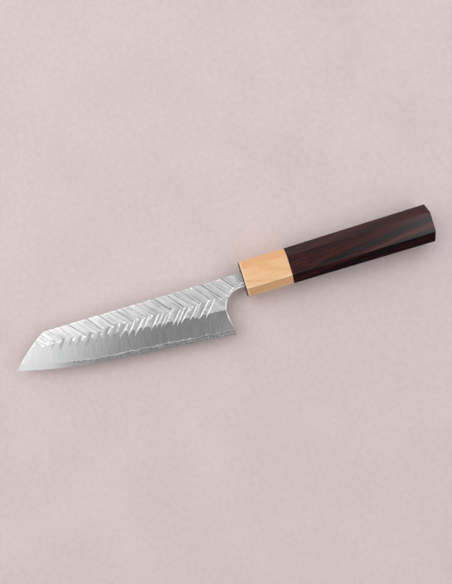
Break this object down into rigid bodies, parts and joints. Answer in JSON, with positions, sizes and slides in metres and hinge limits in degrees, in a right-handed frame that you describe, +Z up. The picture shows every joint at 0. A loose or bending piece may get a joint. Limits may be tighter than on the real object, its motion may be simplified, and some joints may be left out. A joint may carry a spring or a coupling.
{
  "type": "bunka kitchen knife",
  "caption": "Kitchen knife with a clipped tip: a layered steel blade, ground to its edge, set in an octagonal wooden handle with a pale ferrule.",
  "frame": {"origin": "on the lower facet of the handle, in the middle of the handle body, where the knife rests on its right side", "axes": "+X along the handle towards the butt, +Y from the cutting edge to the spine, +Z up, out of the left side of the blade"},
  "size_m": [0.2666, 0.0424, 0.02],
  "materials": {
    "core_steel": "ground, fine satin",
    "cladding_steel": "hammered herringbone above, satin ground below",
    "ferrule_wood": "satin varnish",
    "handle_wood": "satin oiled rosewood",
    "dowel_wood": "bare",
    "resin": "set resin",
    "seal": "dark sealing wax"
  },
  "bodies": {
    "root": {"core_steel": "core_steel", "left_cladding": "cladding_steel", "right_cladding": "cladding_steel", "ferrule": "ferrule_wood", "handle_body": "handle_wood", "tang_dowel": "dowel_wood", "setting_resin": "resin", "mouth_seal": "seal"}
  },
  "joints": []
}
